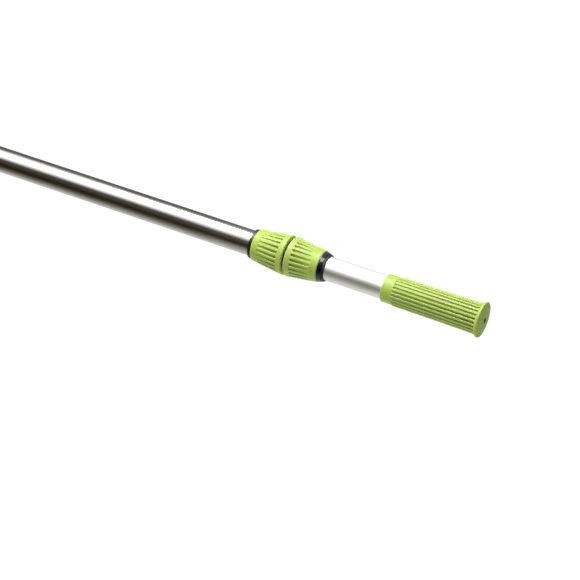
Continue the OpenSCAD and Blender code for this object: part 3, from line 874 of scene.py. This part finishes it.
# %% Barrel outline and both sleeves
END_R = outer_r + 3.3 * MM
RIM_FULL_R = rim_r - 0.1 * MM
BEAD_HEIGHT, END_BEAD_LENGTH = 0.35 * MM, 4.5 * MM
BARREL_TAPER = 0.62  # the share of the fall that is straight, the rest grows with the square of the distance
RIM_LENGTH = 6.5 * MM
BARREL_EDGE, BARREL_STEP = 1.4 * MM, 0.5 * MM


def bead(distance, width):
    """A low rounded swelling over the first width of a barrel's end."""
    share = min(max(distance / width, 0.0), 1.0)
    return BEAD_HEIGHT * math.sin(math.pi * share) ** 2


def barrel_r(distance, length):
    """The barrel's curve at a distance from the gap, with a bead beside the gap and one at the narrow end."""
    share = distance / length
    curve = RIM_FULL_R - (RIM_FULL_R - END_R) * (BARREL_TAPER * share + (1 - BARREL_TAPER) * share ** 2)
    return curve + bead(distance, RIM_LENGTH) + bead(length - distance, END_BEAD_LENGTH)


def barrel_outline(seat, start, direction, length):
    """A closed outline from the seat's corners (distance, radius) and the barrel's curve."""
    curved = length - 2 * BARREL_EDGE
    count = round(curved / BARREL_STEP)
    distances = [BARREL_EDGE + curved * i / count for i in range(1, count)]
    rounding = BARREL_EDGE * 0.95  # ends just short of the next point
    corners = [*seat, (0, barrel_r(0, length), rounding), *[(d, barrel_r(d, length)) for d in distances],
               (length, barrel_r(length, length), rounding)]
    return [(start + direction * d, r) for d, r in rounded(corners, steps=6)]


def ribbed_sleeve(name, outline, phase, first, last, finish, **sizes):
    """A spun piece with grooves from first to last along X. sizes are the groove tree's other inputs."""
    piece = spun(name, outline, GROOVE_COUNT * STEPS_PER_GROOVE, phase)
    values = {"Count": float(GROOVE_COUNT), "Phase": phase, "Start": first, "Stop": last, "Material": finish}
    values.update({label.replace("_", " "): size for label, size in sizes.items()})
    return run_tree(piece, grooves, values)


COLLAR_GROOVES = {"Width": 2.8 * MM, "Softness": 0.3 * MM, "Crown": 0.4 * MM, "Runout": 1.4 * MM}
DEEP_END, REAR_FADED_END, FRONT_FADED_END = 2.5 * MM, 0.5 * MM, 0.4 * MM
REAR_GROOVE_LENGTH, FRONT_GROOVE_LENGTH = 27 * MM, 25 * MM
REAR_PHASE, FRONT_PHASE = math.radians(6.5), math.radians(14.3)

rear_length, rear_last = gap_x - rear_x, gap_x - RIM_LENGTH
rear_outline = barrel_outline([(rear_length, rear_seat_r), (0, neck_r)], gap_x, -1, rear_length)
rear_sleeve = ribbed_sleeve(
    "rear_sleeve_ribbed", rear_outline, REAR_PHASE, rear_last - REAR_GROOVE_LENGTH, rear_last, sleeve_rubber,
    Depth_At_Start=REAR_FADED_END, Depth_At_Stop=DEEP_END, **COLLAR_GROOVES)
settle(rear_sleeve, "outer_section", "rear_sleeve")

front_length, front_first = tip_x - nut_x, nut_x + RIM_LENGTH
front_seat = [(front_length, nut_tip_r), (front_length / 2, nut_r), (0, nut_r)]
front_outline = barrel_outline(front_seat, nut_x, 1, front_length)
front_sleeve = ribbed_sleeve(
    "front_sleeve_ribbed", front_outline, FRONT_PHASE, front_first, front_first + FRONT_GROOVE_LENGTH,
    sleeve_rubber, Depth_At_Start=DEEP_END, Depth_At_Stop=FRONT_FADED_END, **COLLAR_GROOVES)
settle(front_sleeve, "twist_nut", "front_sleeve")


# %% [markdown]
# ## The grip
# The grip is one moulding: a plain neck with a rounded edge, ribs whose crests dip at the waist, a flange
# that keeps the hand on, and a slightly domed end face with a small hole that let the air out when the grip
# was pushed on. The crests flare up into the flange in a curve.

# %% Grip outline
NECK_LENGTH, NECK_R = 13.5 * MM, inner_r + 2.45 * MM
CREST_R, CREST_END_R, WAIST_DIP = inner_r + 3.3 * MM, inner_r + 4.15 * MM, 0.2 * MM
STEP_UP_LENGTH = 2.5 * MM
END_WALL, DOME, FLANGE, FLARE = 4.0 * MM, 2.2 * MM, 1.8 * MM, 6.7 * MM
FLARE_POWER = 2.4
DOME_SHARES, DOME_FULLNESS = (0.93, 0.85, 0.75, 0.6, 0.45, 0.3, 0.2), 0.98
ribs_x = grip_x + NECK_LENGTH
face_x = grip_end_x - DOME
flare_end_x = face_x - FLANGE
flare_x = flare_end_x - FLARE


def spread(start, stop, step):
    """Places about a step apart, from start and not including stop."""
    count = max(1, round((stop - start) / step))
    return [start + (stop - start) * i / count for i in range(count)]


def crest_r(x):
    """Radius of the ribs' crests, with the step up from the neck, the waist and the flare."""
    share = min(max((x - ribs_x) / (flare_x - ribs_x), 0.0), 1.0)
    radius = CREST_R + (CREST_END_R - CREST_R) * share - WAIST_DIP * math.sin(math.pi * share)
    step_up = min(max((x - ribs_x) / STEP_UP_LENGTH, 0.0), 1.0)
    radius = NECK_R + (radius - NECK_R) * math.sin(step_up * math.pi / 2)
    rise = min(max((x - flare_x) / FLARE, 0.0), 1.0)
    return radius + (flange_r - CREST_END_R) * rise ** FLARE_POWER


RING_SPACINGS = [  # from, to and step of the rings of points, close where the shape changes
    (grip_x + 2 * MM, ribs_x, 1.5 * MM), (ribs_x, ribs_x + 4 * MM, 0.3 * MM),
    (ribs_x + 4 * MM, flare_x - 2 * MM, 2.5 * MM), (flare_x - 2 * MM, flare_end_x, 0.4 * MM)]
stations = [x for span in RING_SPACINGS for x in spread(*span)]
dome = [(face_x + DOME * (1 - share ** 2) * DOME_FULLNESS, flange_r * share) for share in DOME_SHARES]
grip_outline = rounded([
    (grip_end_x - END_WALL, vent_r), (grip_end_x - END_WALL, inner_r), (grip_x, inner_r),
    (grip_x, NECK_R, 1.5 * MM), *[(x, crest_r(x)) for x in stations], (flare_end_x, flange_r, 0.4 * MM),
    (face_x, flange_r, 0.7 * MM), *dome, (grip_end_x - 0.03 * MM, vent_r, 0.7 * MM)], steps=6)
print("grip outline has", len(grip_outline), "points")

# %% Grip
GRIP_GROOVES = {"Width": 2.3 * MM, "Softness": 0.25 * MM, "Crown": 0.35 * MM, "Runout": 0.8 * MM}
GRIP_PHASE = math.radians(9)
INTO_FLARE = 5 * MM

grip = ribbed_sleeve(
    "grip_ribbed", grip_outline, GRIP_PHASE, ribs_x, flare_x + INTO_FLARE, grip_rubber,
    Depth_At_Start=1.2 * MM, Depth_At_Stop=2.1 * MM, **GRIP_GROOVES)
settle(grip, "inner_section", "grip")
